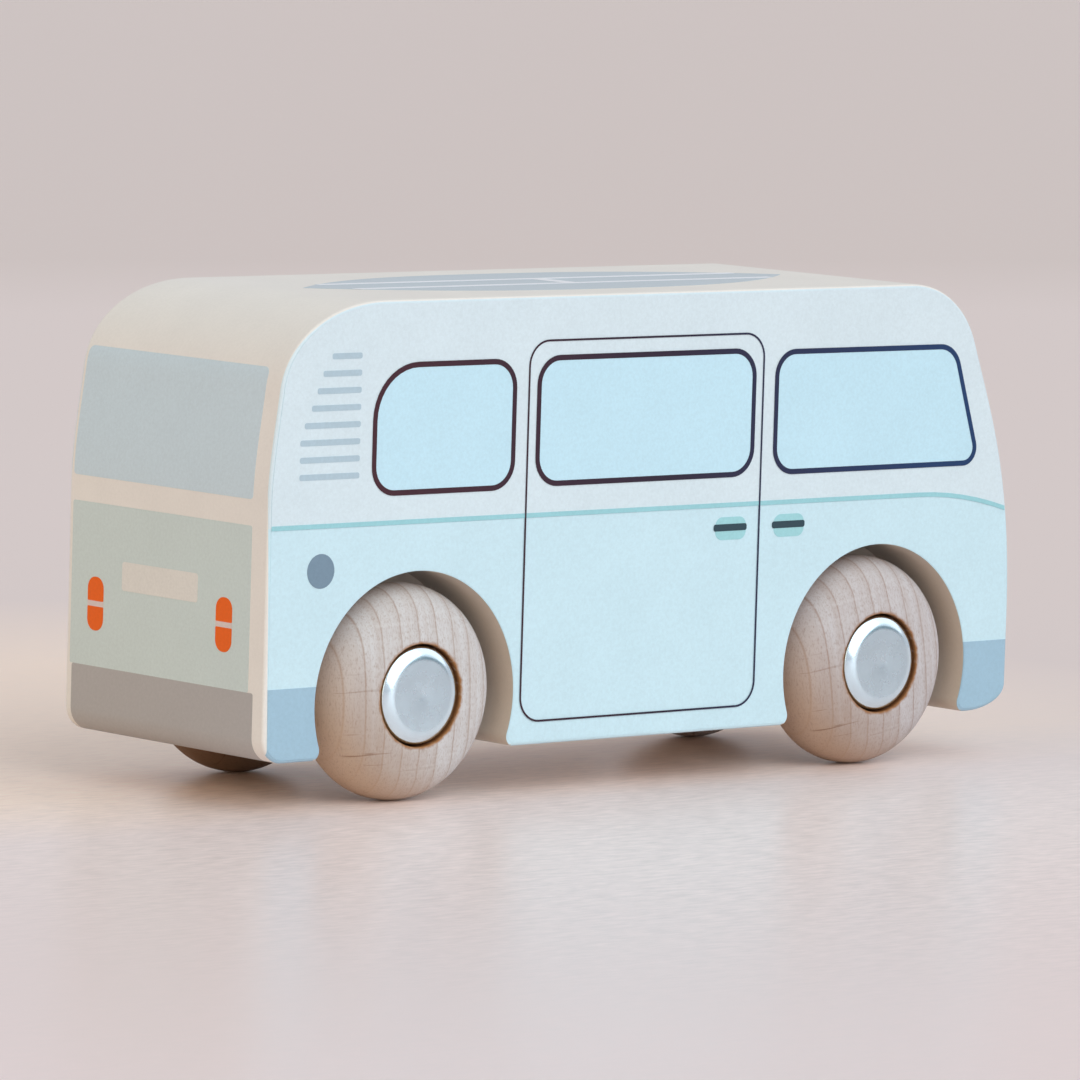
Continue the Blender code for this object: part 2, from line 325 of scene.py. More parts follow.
def outline_material():
    """Dark ink that turns from plum at the tail to navy at the nose."""
    material, tree, shader = new_material("ink_outline")
    share = spread(tree, parts_of(tree, object_place(tree))["X"], -45 * MM, 50 * MM)
    tail, middle, nose = srgb(66, 30, 42), srgb(40, 28, 50), srgb(20, 56, 102)
    dark = ramp(tree, share, [(0.0, tail), (1.0, nose), (0.5, middle)])
    coat(tree, shader, dark, INK_ROUGHNESS, 0.02, 0.05)
    return material


def side_colour(tree, parts, bumper_x, colours):
    """The colours of a side's lower part, upper part and bumper ends."""
    belt = spread(tree, parts["X"], BELT_BEND_X, BELT_NOSE_X, BELT_Z, BELT_Z - BELT_NOSE_DROP)
    above = maths(tree, "GREATER_THAN", parts["Z"], belt)
    side = blend_colour(tree, above, colours["lower"], colours["upper"])
    low = maths(tree, "LESS_THAN", parts["Z"], SIDE_BUMPER_TOP)
    beyond = maths(tree, "GREATER_THAN", maths(tree, "ABSOLUTE", parts["X"]), bumper_x)
    return blend_colour(tree, maths(tree, "MULTIPLY", low, beyond), side, colours["bumper_end"])


def block_material(half_width, axles, colours):
    """Cream paint, with painted shade in the pockets. The sides' colours run onto the rounded edges."""
    material, tree, shader = new_material("cream_paint")
    parts = parts_of(tree, object_place(tree))
    out = maths(tree, "ABSOLUTE", parts["Y"])
    side = side_colour(tree, parts, axles[0][0].x, colours)
    edge = spread(tree, parts["Z"], WRAP_LOW_Z, WRAP_HIGH_Z, half_width - SIDE_WRAP, half_width - ROOF_WRAP)
    (low_x, low_z), (high_x, high_z) = PRINT_REAR_LOW, PRINT_REAR_HIGH
    rear = spread(tree, parts["Z"], low_z, high_z, low_x, high_x)
    printed = maths(tree, "GREATER_THAN", out, edge)
    printed = maths(tree, "MULTIPLY", printed, maths(tree, "GREATER_THAN", parts["X"], rear))
    paint = blend_colour(tree, printed, colours["cream"], side)
    # Painted shade in the pockets: browner near their rims, greyer further in.
    deep = spread(tree, out, half_width - 8 * MM, half_width - 3 * MM, 1.0, 0.0)
    pocket = blend_colour(tree, deep, colours["pocket"], colours["pocket_deep_shade"])
    below_face = maths(tree, "LESS_THAN", out, half_width - RIM_SOFTENING / 2)
    cut_away = maths(tree, "MULTIPLY", below_face, maths(tree, "GREATER_THAN", out, POCKET_FLOOR_Y / 2))
    flat = object_place(tree, (1, 0, 1))
    for centre, _ in axles:
        middle = pocket_centre(centre)
        gap = distance(tree, flat, (middle.x, 0, middle.y))
        within = maths(tree, "LESS_THAN", gap, POCKET_RADIUS + POCKET_CORNER)
        paint = blend_colour(tree, maths(tree, "MULTIPLY", within, cut_away), paint, pocket)
    coat(tree, shader, paint, 0.48, 0.02, 0.02)
    return material


# Beech

def growth_lines(tree, grain):
    """Straight growth lines, darker streaks and pale chatter. Returns the wood and its lines."""
    lines = add(
        tree,
        "ShaderNodeTexWave",
        {"Vector": stretched(tree, grain, (1, 0.04, 0)), "Scale": 118.0, "Distortion": 1.6, "Detail": 2.0},
        wave_type="BANDS",
        bands_direction="X",
        wave_profile="SAW",
    ).outputs["Fac"]
    early = srgb(206, 205, 207)
    late = srgb(198, 194, 194)
    line = srgb(174, 157, 149)
    wood = ramp(tree, lines, [(0.0, early), (0.93, line), (0.5, early), (0.86, late), (1.0, early)])
    streaks = noise(tree, stretched(tree, grain, (1500, 40, 60)), 1.0, 3.0)
    wood = blend_colour(tree, spread(tree, streaks, 0.42, 0.72, 0.0, 0.5), wood, srgb(188, 177, 172))
    chatter = noise(tree, stretched(tree, grain, (50, 1800, 50)))
    wood = blend_colour(tree, spread(tree, chatter, 0.5, 0.75, 0.0, 0.35), wood, srgb(214, 214, 215))
    return wood, lines


def tan_grain_and_painted_shade(tree, wood, grain, radius):
    """Turns one side of a wheel tan, partly end grain and partly painted shade, with painted light along
    that side's rim. Returns the wood and how tan it is.
    """
    # The tan is partly end grain and partly painted shade on one side.
    tan = spread(tree, along(tree, grain, (-0.77, -0.64, 0)), 2 * MM, 11.5 * MM, 0.0, 0.85)
    wood = blend_colour(tree, tan, wood, srgb(166, 137, 114))
    # Painted light: the tan side's rim is paler to offset the shade on its rounded edge.
    rim = maths(tree, "MULTIPLY", tan, spread(tree, radius, 9.5 * MM, 12.5 * MM, 0.0, 0.45))
    return blend_colour(tree, rim, wood, srgb(222, 192, 164)), tan


def flecked(tree, wood, grain, tan):
    """Adds flecks, pores and, on the tan side, checks. Returns the wood and its flecks."""
    flecks = noise(tree, stretched(tree, grain, (6000, 1900, 6000)), 1.0, 2.0, 0.7)
    wood = blend_colour(tree, spread(tree, flecks, 0.5, 0.72, 0.0, 0.5), wood, srgb(158, 134, 121))
    pores = noise(tree, stretched(tree, grain, (2800, 600, 2800)))
    wood = blend_colour(tree, spread(tree, pores, 0.64, 0.72, 0.0, 0.3), wood, srgb(146, 114, 98))
    checks = noise(tree, stretched(tree, grain, (120, 2200, 120)))
    checks = maths(tree, "MULTIPLY", tan, spread(tree, checks, 0.66, 0.72, 0.0, 0.8))
    return blend_colour(tree, checks, wood, srgb(124, 86, 58)), flecks


def scorched(tree, wood, place, radius, lip):
    """Burns the counterbore and a narrow uneven ring round its lip, darker towards the counterbore's floor.
    """
    waver = spread(tree, noise(tree, place, 1200.0, 3.0), 0.3, 0.7, -0.12 * MM, 0.12 * MM)
    inside = COUNTERBORE_RADIUS + 0.04 * MM
    char = spread(tree, maths(tree, "ADD", radius, waver), inside, inside + 0.36 * MM, 1.0, 0.0)
    height = parts_of(tree, place)["Z"]
    depth = spread(tree, maths(tree, "ADD", height, waver), lip - 1.2 * MM, lip)
    dark, middle, pale = srgb(112, 68, 40), srgb(128, 80, 42), srgb(160, 112, 68)
    burnt = ramp(tree, depth, [(0.0, dark), (1.0, pale), (0.6, middle)])
    return blend_colour(tree, char, wood, burnt)


def beech_material(lip):
    """Bare beech, in each wheel's own tone, with painted shade on one side; the darker tone of one wheel is
    painted shade too.

    Its growth lines run along local Y, turned by the wheel's object index in degrees.
    """
    material, tree, shader = new_material("bare_beech")
    place = object_place(tree)
    wheel = add(tree, "ShaderNodeObjectInfo").outputs
    turn = maths(tree, "RADIANS", wheel["Object Index"])
    grain = add(
        tree, "ShaderNodeVectorRotate", {"Vector": place, "Angle": turn}, rotation_type="Z_AXIS"
    ).outputs["Vector"]
    radius = distance(tree, stretched(tree, place, (1, 1, 0)))
    wood, lines = growth_lines(tree, grain)
    wood, tan = tan_grain_and_painted_shade(tree, wood, grain, radius)
    wood, flecks = flecked(tree, wood, grain, tan)
    wood = scorched(tree, wood, place, radius, lip)
    wood = blend_colour(tree, 1.0, wood, wheel["Color"], "MULTIPLY")
    tree.links.new(wood, shader.inputs["Base Color"])
    tree.links.new(spread(tree, flecks, 0.3, 0.7, 0.55, 0.68), shader.inputs["Roughness"])
    shader.inputs["Specular IOR Level"].default_value = 0.3
    bump(tree, shader, maths(tree, "SUBTRACT", lines, flecks), 0.12, 0.03 * MM)
    return material


# Steel and floor

def steel_material(name, colour, roughness, scratches, face=None):
    """Plated or drawn steel with faint clouding and hairline scratches, brighter outside a drawn face."""
    material, tree, shader = new_material(name)
    place = object_place(tree)
    clouds = noise(tree, place, 350.0, 4.0, 0.6)
    hairs = noise(tree, object_place(tree, (4200, 260, 4200)))
    tone = ramp(tree, clouds, [(0.3, tint(colour, 0.97)), (0.7, tint(colour, 1.03))])
    tree.links.new(tone, shader.inputs["Base Color"])
    shader.inputs["Metallic"].default_value = 1.0
    rough = spread(tree, clouds, 0.3, 0.7, roughness - 0.03, roughness + 0.03)
    if face:
        radius = distance(tree, stretched(tree, place, (1, 1, 0)))
        rough = maths(tree, "MULTIPLY", rough, spread(tree, radius, face, face + 0.6 * MM, 1.0, 0.6))
    tree.links.new(rough, shader.inputs["Roughness"])
    bump(tree, shader, hairs, scratches, 0.01 * MM)
    return material


def floor_colour(tree, place, away):
    """Painted light: a pale pool before the van and painted warm fill light in its shade. Paler towards the
    front and duller far behind it.
    """
    # Painted pool of light, palest round its spot.
    near = [(0.0, srgb(243, 227, 225)), (1.0, srgb(228, 211, 208)), (0.5, srgb(232, 217, 216))]
    colour = ramp(tree, spread(tree, away, 30 * MM, 200 * MM), near)
    beyond = along(tree, place, BEHIND)
    far = spread(tree, beyond, 720 * MM, 880 * MM)
    colour = blend_colour(tree, far, colour, srgb(217, 200, 195))
    front = spread(tree, beyond, -60 * MM, -200 * MM)
    colour = blend_colour(tree, front, colour, srgb(239, 221, 221))
    # Painted warm fill light in the van's shade.
    warm = spread(tree, parts_of(tree, place)["Y"], -25 * MM, 5 * MM)
    painted_fill_reach = spread(tree, distance(tree, place, PAINTED_FILL_SPOT), 80 * MM, 160 * MM, 1.0, 0.0)
    return blend_colour(tree, maths(tree, "MULTIPLY", warm, painted_fill_reach), colour, srgb(254, 230, 214))


def floor_material():
    """Pale satin table top with a fine grain that fades away from the van."""
    material, tree, shader = new_material("pale_floor")
    place = object_place(tree)
    away = distance(tree, place, PAINTED_LIGHT_SPOT)
    grain = noise(tree, object_place(tree, (260, 900, 600)), 1.0, 4.0, 0.65)
    depth = spread(tree, away, 50 * MM, 130 * MM, 0.65, 0.1)
    shade = maths(tree, "ADD", maths(tree, "MULTIPLY", maths(tree, "SUBTRACT", grain, 0.5), depth), 1.0)
    colour = blend_colour(tree, 1.0, floor_colour(tree, place, away), shade, "MULTIPLY")
    tree.links.new(colour, shader.inputs["Base Color"])
    tree.links.new(spread(tree, grain, 0.3, 0.7, 0.28, 0.34), shader.inputs["Roughness"])
    shader.inputs["Specular IOR Level"].default_value = 0.28
    bump(tree, shader, grain, 0.06, 0.05 * MM)
    return material


# Geometry helpers

def new_object(name, data):
    piece = bpy.data.objects.new(name, data)
    bpy.context.scene.collection.objects.link(piece)
    return piece


def evaluated_mesh(source, name):
    """The mesh of an object with its modifiers applied. The object itself is removed."""
    bpy.context.view_layer.update()
    graph = bpy.context.evaluated_depsgraph_get()
    mesh = bpy.data.meshes.new_from_object(source.evaluated_get(graph))
    mesh.name = name
    bpy.data.objects.remove(source, do_unlink=True)
    return mesh


def written(work, mesh):
    """The mesh, with the working mesh written into it. The working mesh is freed."""
    work.to_mesh(mesh)
    work.free()
    return mesh


def raised_points(work, faces):
    """Extrudes faces and keeps them. Returns the new faces' points."""
    raised = bmesh.ops.extrude_face_region(work, geom=faces, use_keep_orig=True)["geom"]
    return [item for item in raised if isinstance(item, bmesh.types.BMVert)]


def smooth(mesh):
    mesh.shade_smooth()
    mesh.set_sharp_from_angle(angle=SHARP_ANGLE)


def arc(centre, radius, start, end, steps=ARC_STEPS):
    """Points of an arc from one angle to another, in degrees."""
    angles = [math.radians(start + (end - start) * step / steps) for step in range(steps + 1)]
    return [(centre[0] + radius * math.cos(a), centre[1] + radius * math.sin(a)) for a in angles]


def turned_mesh(name, section):
    """A section of (radius, height) points, from its top down its outer side, turned round local Z.

    It is closed, unless both its ends lie on the axis.
    """
    mesh = bpy.data.meshes.new(name)
    on_axis = section[0][0] == 0 and section[-1][0] == 0
    count = len(section)
    edges = [(index, (index + 1) % count) for index in range(count - 1 if on_axis else count)]
    mesh.from_pydata([(radius, 0, height) for radius, height in section], edges, [])
    profile = new_object(name, mesh)
    screw = profile.modifiers.new("Turn", "SCREW")
    screw.steps = TURNED_STEPS
    screw.render_steps = TURNED_STEPS
    screw.use_merge_vertices = True
    screw.merge_threshold = WELD
    turned = evaluated_mesh(profile, name)
    smooth(turned)
    return turned


def cover(piece, material):
    piece.data.materials.clear()
    piece.data.materials.append(material)


def dress(piece, body, material, node=None):
    """Gives a piece its material, puts it on a body, and lets it stand for a CAD node."""
    cover(piece, material)
    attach(piece, body)
    if node:
        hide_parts(node)
    return piece


# Block

def outline_rows(low, high):
    """The van seen from its right side, from the tail's foot forward and round.

    Each row is a knot, the handle before it and the handle after it, as offsets; None is straight.
    """
    nose_x, tail_x = high.x, low.x
    roof_z, under_z = high.z, low.z
    corner_run = NOSE_CORNER_RUN * CIRCLE_HANDLE
    corner_rise = NOSE_CORNER_RISE * CIRCLE_HANDLE
    tail_corner = TAIL_CORNER * CIRCLE_HANDLE
    lean = Vector((-WINDSCREEN_SLOPE, 1))
    tail_lean = Vector((TAIL_SLOPE, 1))
    return [
        ((tail_x + TAIL_CORNER, under_z), (-tail_corner, 0), None),
        ((nose_x - NOSE_CORNER_RUN, under_z), None, (corner_run, 0)),
        ((nose_x, under_z + NOSE_CORNER_RISE), (0, -corner_rise), None),
        ((nose_x, NOSE_LEAN_Z), None, (0, NOSE_BEND[0])),
        (WINDSCREEN_TOP, -NOSE_BEND[1] * lean, ROOF_FRONT_BEND[0] * lean),
        ((ROOF_FRONT_X, roof_z), (ROOF_FRONT_BEND[1], 0), None),
        ((ROOF_REAR_X, roof_z), None, (-ROOF_REAR_BEND[0], 0)),
        (TAIL_TOP, ROOF_REAR_BEND[1] * tail_lean, -TAIL_BEND[0] * tail_lean),
        ((tail_x, TAIL_LEAN_Z), (0, TAIL_BEND[1]), None),
        ((tail_x, under_z + TAIL_CORNER), None, (0, -tail_corner)),
    ]


def outline_points(rows):
    """Points along the outline and their outward normals."""
    points = []
    for (knot, _, handle_out), (goal, handle_in, _) in zip(rows, rows[1:] + rows[:1]):
        start, end = Vector(knot), Vector(goal)
        if handle_out is None:
            points.append(start)
            continue
        bend = (start, start + Vector(handle_out), end + Vector(handle_in), end)
        points += interpolate_bezier(*bend, OUTLINE_STEPS + 1)[:-1]
    normals = []
    for before, here, after in zip(points[-1:] + points, points, points[1:] + points[:1]):
        run = (here - before).normalized() + (after - here).normalized()
        normals.append(Vector((run.y, -run.x)).normalized())
    return points, normals


def block_mesh(rows, width):
    """The outline as a filled 2D curve, as thick as the van is wide, with its long edges rounded."""
    curve = bpy.data.curves.new("block_outline", "CURVE")
    curve.dimensions = "2D"
    curve.fill_mode = "BOTH"
    curve.extrude = width / 2 - EDGE_ROUND
    curve.bevel_depth = EDGE_ROUND
    curve.bevel_resolution = 4
    curve.offset = -EDGE_ROUND
    curve.resolution_u = OUTLINE_STEPS
    spline = curve.splines.new("BEZIER")
    spline.bezier_points.add(len(rows) - 1)
    spline.use_cyclic_u = True
    for point, (knot, handle_in, handle_out) in zip(spline.bezier_points, rows):
        point.co = (*knot, 0)
        point.handle_left_type = "FREE" if handle_in else "VECTOR"
        point.handle_right_type = "FREE" if handle_out else "VECTOR"
        if handle_in:
            point.handle_left = point.co + Vector((*handle_in, 0))
        if handle_out:
            point.handle_right = point.co + Vector((*handle_out, 0))
    mesh = evaluated_mesh(new_object("block_outline", curve), "painted_block")
    mesh.transform(Matrix.Rotation(math.pi / 2, 4, "X"))
    work = bmesh.new()
    work.from_mesh(mesh)
    bmesh.ops.remove_doubles(work, verts=work.verts, dist=WELD)
    return written(work, mesh)


def pocket_centre(axle):
    """Where a pocket is centred in the side view, a little below and behind its axle."""
    return Vector((axle.x - POCKET_SETBACK, axle.z - POCKET_DROP))


def pocket_outline(middle, radius, foot, corner, runout=0):
    """A pocket's edge seen from the side, from its rear foot over the top to its front foot.

    Its lower ends turn out by a corner radius, until they are level or have the runout's slope in degrees.
    """
    rise = middle.y - foot - corner
    reach = math.sqrt((radius + corner) ** 2 - rise ** 2)
    dip = math.degrees(math.atan2(rise, reach))
    points = arc((middle.x - reach, foot + corner), corner, runout - 90, dip)
    points += arc(middle, radius, 180 + dip, -dip, 12 * ARC_STEPS)[1:-1]
    points += arc((middle.x + reach, foot + corner), corner, 180 - dip, 270 - runout)
    return [Vector(point) for point in points]


def pocket_cutter(middle, foot, start_y, end_y):
    """A prism with a pocket's edge, which leaves the underside at a shallow angle and ends below it."""
    edge = pocket_outline(middle, POCKET_RADIUS, foot, POCKET_CORNER, CUT_RUNOUT)
    fall = CUT_OVERRUN * math.tan(math.radians(CUT_RUNOUT))
    rear = edge[0] + Vector((-CUT_OVERRUN, -fall))
    front = edge[-1] + Vector((CUT_OVERRUN, -fall))
    below = foot - CUT_OVERRUN
    edge = [Vector((rear.x, below)), rear, *edge, front, Vector((front.x, below))]
    work = bmesh.new()
    face = work.faces.new([work.verts.new((x, start_y, z)) for x, z in edge])
    bmesh.ops.translate(work, vec=(0, end_y - start_y, 0), verts=raised_points(work, [face]))
    bmesh.ops.recalc_face_normals(work, faces=work.faces)
    mesh = written(work, bpy.data.meshes.new("pocket_cutter"))
    return new_object("pocket_cutter", mesh)


def bore_cutter(radius, depth, centre):
    """A cylinder along the van's width."""
    bpy.ops.mesh.primitive_cylinder_add(
        vertices=BORE_SIDES, radius=radius, depth=depth, location=centre, rotation=(math.pi / 2, 0, 0)
    )
    return bpy.context.object


def cut(piece, cutter):
    """Cuts the cutter's shape out of a piece, by a modifier. Returns the cutter."""
    boolean = piece.modifiers.new("Cut", "BOOLEAN")
    boolean.operation = "DIFFERENCE"
    boolean.solver = "EXACT"
    boolean.object = cutter
    return cutter


def make_block(rows, low, high, axles, paint):
    """The painted block with its four wheel pockets and two bores, its cut edges a little softened."""
    block = new_object("raw_block", block_mesh(rows, high.y - low.y))
    cutters = []
    for centre, radius in axles:
        for side in (LEFT, RIGHT):
            ends = (side * POCKET_FLOOR_Y, side * (high.y + CUT_OVERRUN))
            cutters.append(cut(block, pocket_cutter(pocket_centre(centre), low.z, *ends)))
        bore = radius + RUNNING_CLEARANCE
        place = (centre.x, 0, centre.z)
        cutters.append(cut(block, bore_cutter(bore, 2 * (POCKET_FLOOR_Y + CUT_OVERRUN), place)))
    soften = block.modifiers.new("Soften", "BEVEL")
    soften.width = RIM_SOFTENING
    soften.segments = 2
    soften.limit_method = "ANGLE"
    soften.angle_limit = SOFTENED_ANGLE
    mesh = evaluated_mesh(block, "painted_block")
    for cutter in cutters:
        bpy.data.objects.remove(cutter, do_unlink=True)
    smooth(mesh)
    piece = new_object("painted_block", mesh)
    even = piece.modifiers.new("Even shading", "WEIGHTED_NORMAL")
    even.keep_sharp = True
    dress(piece, "van_body", paint, "body_block")


# Print: outlines

def rounded(corners, radii):
    """A convex or concave outline, counter-clockwise, with each corner rounded by its radius."""
    points = []
    count = len(corners)
    for index, (corner, radius) in enumerate(zip(corners, radii)):
        here = Vector(corner)
        before = (Vector(corners[index - 1]) - here).normalized()
        after = (Vector(corners[(index + 1) % count]) - here).normalized()
        half = before.angle(after) / 2
        reach = radius / math.tan(half)
        centre = here + (before + after).normalized() * radius / math.sin(half)
        first = (here + before * reach - centre).normalized()
        last = (here + after * reach - centre).normalized()
        for step in range(ARC_STEPS + 1):
            points.append(centre + first.slerp(last, step / ARC_STEPS) * radius)
    return points


def grown(corners, width):
    """A counter-clockwise outline with every edge moved outwards by a width."""
    moved = []
    count = len(corners)
    for index, corner in enumerate(corners):
        here = Vector(corner)
        before = (here - Vector(corners[index - 1])).normalized()
        after = (Vector(corners[(index + 1) % count]) - here).normalized()
        outwards = Vector((before.y, -before.x)) + Vector((after.y, -after.x))
        moved.append(here + outwards * width / (1 + before.dot(after)))
    return moved


def mm(*sizes):
    return [size * MM for size in sizes]


def box_corners(left, right, bottom, top):
    return [(left, bottom), (right, bottom), (right, top), (left, top)]


def rounded_box(left, right, bottom, top, radius):
    return rounded(box_corners(left, right, bottom, top), [radius] * 4)


def disc(centre, radius):
    return [Vector(point) for point in arc(centre, radius, 0, 360, 4 * ARC_STEPS)[:-1]]


def stroke(corners, radii, width):
    """The two loops of a line of some width along a rounded outline."""
    outer = rounded(grown(corners, width / 2), [radius + width / 2 for radius in radii])
    inner = rounded(grown(corners, -width / 2), [radius - width / 2 for radius in radii])
    return [outer, inner]


def clipped(loop, measure):
    """The part of a loop where a measure of its points isn't negative."""
    kept = []
    for before, here in zip(loop[-1:] + loop, loop):
        was, now = measure(before), measure(here)
        if was * now < 0:
            kept.append(before.lerp(here, was / (was - now)))
        if now >= 0:
            kept.append(here)
    return kept


# Print: layers of ink

def ink(name, shapes, lay, layer, material, rows=()):
    """A thin closed layer of ink. Each shape is a list of loops, the first its outline and the rest holes.

    lay(u, v, lift) gives a point of the van's surface, lifted off it. rows are the v at which it bends.
    """
    work = bmesh.new()
    for loops in shapes:
        flat = [[Vector((u, v, 0)) for u, v in loop] for loop in loops]
        corners = [work.verts.new(point) for loop in flat for point in loop]
        for triangle in tessellate_polygon(flat):
            face = work.faces.new([corners[index] for index in triangle])
            face.normal_update()
            if face.normal.z < 0:
                face.normal_flip()
    for height in rows:
        everything = work.verts[:] + work.edges[:] + work.faces[:]
        bmesh.ops.bisect_plane(work, geom=everything, dist=SNAP, plane_co=(0, height, 0), plane_no=(0, 1, 0))
    sheet = work.faces[:]
    for vert in raised_points(work, sheet):
        vert.co.z = 1
    bmesh.ops.reverse_faces(work, faces=sheet)
    bottom = layer * (INK_LAYER + INK_GAP) + INK_GAP
    for vert in work.verts:
        vert.co = lay(vert.co.x, vert.co.y, bottom + vert.co.z * INK_LAYER)
    bmesh.ops.recalc_face_normals(work, faces=work.faces)
    if work.calc_volume(signed=True) < 0:
        bmesh.ops.reverse_faces(work, faces=work.faces)
    mesh = written(work, bpy.data.meshes.new(name))
    smooth(mesh)
    dress(new_object(name, mesh), "van_body", material)


class EndSurface:
    """The tail (-1) or the nose (1) as a surface to print on: u runs across the van.

    v is the height, and below the straight part of the end it goes on as the length along the lower corner.
    """

    LEAST_FACING = 0.02
    UPRIGHT_FACING = 0.99

    def __init__(self, points, normals, end):
        facing = [(p, n) for p, n in zip(points, normals) if n.x * end > self.LEAST_FACING]
        facing.sort(key=lambda pair: pair[0].y)
        self.points = [point for point, _ in facing]
        self.normals = [normal for _, normal in facing]
        upright = [i for i, normal in enumerate(self.normals) if normal.x * end > self.UPRIGHT_FACING]
        self.knee = self.points[upright[0]].y
        self.heights = [point.y for point in self.points]
        for index in reversed(range(upright[0])):
            step = (self.points[index + 1] - self.points[index]).length
            self.heights[index] = self.heights[index + 1] - step

    def lay(self, y, v, lift):
        index = 1
        while index < len(self.heights) - 1 and self.heights[index] < v:
            index += 1
        low, high = self.heights[index - 1], self.heights[index]
        share = (v - low) / (high - low)
        point = self.points[index - 1].lerp(self.points[index], share)
        normal = self.normals[index - 1].lerp(self.normals[index], share).normalized()
        point += normal * lift
        return Vector((point.x, y, point.y))

    def print(self, name, shapes, layer, material):
        """Ink that is divided finely enough to follow the bends."""
        heights = [v for loops in shapes for loop in loops for _, v in loop]
        bottom, top = min(heights), max(heights)
        rows = [height for height in self.heights if bottom < height < top]
        ink(name, shapes, self.lay, layer, material, rows)


# Print: sides

def belt_height(x):
    past = max(0.0, x - BELT_BEND_X)
    return BELT_Z - BELT_BEND * past * past


def belt_line(start, end):
    xs = [start + (end - start) * step / BELT_STEPS for step in range(BELT_STEPS + 1)]
    return [Vector((x, belt_height(x))) for x in xs]


def side_loop(points, normals, low, axles):
    """The flat part of a side: inside the rounded edge and round the two pockets."""
    loop = [point - normal * EDGE_ROUND for point, normal in zip(points, normals)]
    (low_x, low_z), (high_x, high_z) = PRINT_REAR_LOW, PRINT_REAR_HIGH
    for point in loop:
        rear = low_x + (high_x - low_x) * max(0.0, point.y - low_z) / (high_z - low_z)
        point.x = max(point.x, rear)
    foot = low.z + EDGE_ROUND
    rim = POCKET_RADIUS + RIM_SOFTENING
    arches = []
    for centre, _ in sorted(axles, key=lambda pair: pair[0].x):
        arches += pocket_outline(pocket_centre(centre), rim, foot, POCKET_CORNER - RIM_SOFTENING)
    return loop[:1] + arches + loop[1:]


def print_side_colours(hand, loop, lay, axles, inks):
    """The lower and upper colour, the belt line between them and the bumpers' ends."""
    ink(f"{hand}_lower_print", [[loop]], lay, 0, inks["lower"])
    upper = clipped(loop, lambda point: point.y - belt_height(point.x))
    edge = belt_line(upper[-1].x, upper[0].x)
    ink(f"{hand}_upper_print", [[upper + edge[1:-1]]], lay, 1, inks["upper"])
    half = Vector((0, BELT_THICKNESS / 2))
    band = [point - half for point in edge] + [point + half for point in reversed(edge)]
    ink(f"{hand}_belt_line", [[band]], lay, 2, inks["belt"])
    rear_x, front_x = sorted(centre.x for centre, _ in axles)
    rear_part = clipped(loop, lambda point: rear_x - point.x)
    front_part = clipped(loop, lambda point: point.x - front_x)
    ends = [[clipped(part, lambda point: SIDE_BUMPER_TOP - point.y)] for part in (rear_part, front_part)]
    ink(f"{hand}_bumper_ends", ends, lay, 1, inks["bumper_end"])


def print_side_windows(hand, lay, inks):
    """Three outlined windows and the line round the door."""
    rear_window = box_corners(*mm(-44.4, -22.95, 37.2, 52.3))
    door_window = box_corners(*mm(-19.1, 15.5, 37.4, 52.5))
    front_window = [mm(19.25, 37.4), mm(53.75, 37.4), mm(49.15, 52.1), mm(19.25, 52.2)]
    windows = (
        (rear_window, mm(3.2, 3.2, 3.2, 6.5)),
        (door_window, mm(3.2, 3.2, 3.2, 3.2)),
        (front_window, mm(3.0, 1.9, 3.3, 3.0)),
    )
    panes = [[rounded(corners, radii)] for corners, radii in windows]
    ink(f"{hand}_window_panes", panes, lay, 2, inks["pane"])
    outlines = [stroke(corners, radii, PANE_OUTLINE) for corners, radii in windows]
    ink(f"{hand}_window_outlines", outlines, lay, 3, inks["outline"])
    door = box_corners(*mm(-20.7, 17.0, 8.85, 54.6))
    ink(f"{hand}_door_line", [stroke(door, mm(3, 3, 3, 3), DOOR_OUTLINE)], lay, 3, inks["outline"])


def print_side_fittings(hand, lay, inks):
    """Louvres, filler cap and two door handles on pale patches."""
    height, pitch, low_z, front = mm(0.7, 2.015, 39.5, -46.6)
    louvres = []
    for row, rear in enumerate(mm(-55.6, -55.6, -55.6, -55.0, -54.0, -53.2, -52.4, -51.1)):
        bottom = low_z + row * pitch - height / 2
        louvres.append([rounded_box(rear, front, bottom, bottom + height, 0.25 * MM)])
    ink(f"{hand}_louvres", louvres, lay, 2, inks["louvre"])
    ink(f"{hand}_filler_cap", [[disc(mm(-52.0, 28.4), 2.05 * MM)]], lay, 1, inks["filler"])
    patches, bars = [], []
    for rear, front in (mm(9.6, 15.0), mm(19.2, 24.6)):
        patches.append([rounded_box(rear + 0.3 * MM, front - 0.1 * MM, *mm(29.4, 32.2, 1.1))])
        bars.append([rounded_box(rear, front, *mm(30.5, 31.35, 0.3))])
    ink(f"{hand}_handle_patches", patches, lay, 1, inks["patch"])
    ink(f"{hand}_door_handles", bars, lay, 2, inks["handle"])


def print_side(side, loop, half_width, axles, inks):
    """Everything printed on one side of the van."""
    def lay(x, z, lift):
        return Vector((x, side * (half_width + lift), z))

    hand = SIDE_NAMES[side]
    print_side_colours(hand, loop, lay, axles, inks)
    print_side_windows(hand, lay, inks)
    print_side_fittings(hand, lay, inks)


# Print: tail, nose and roof

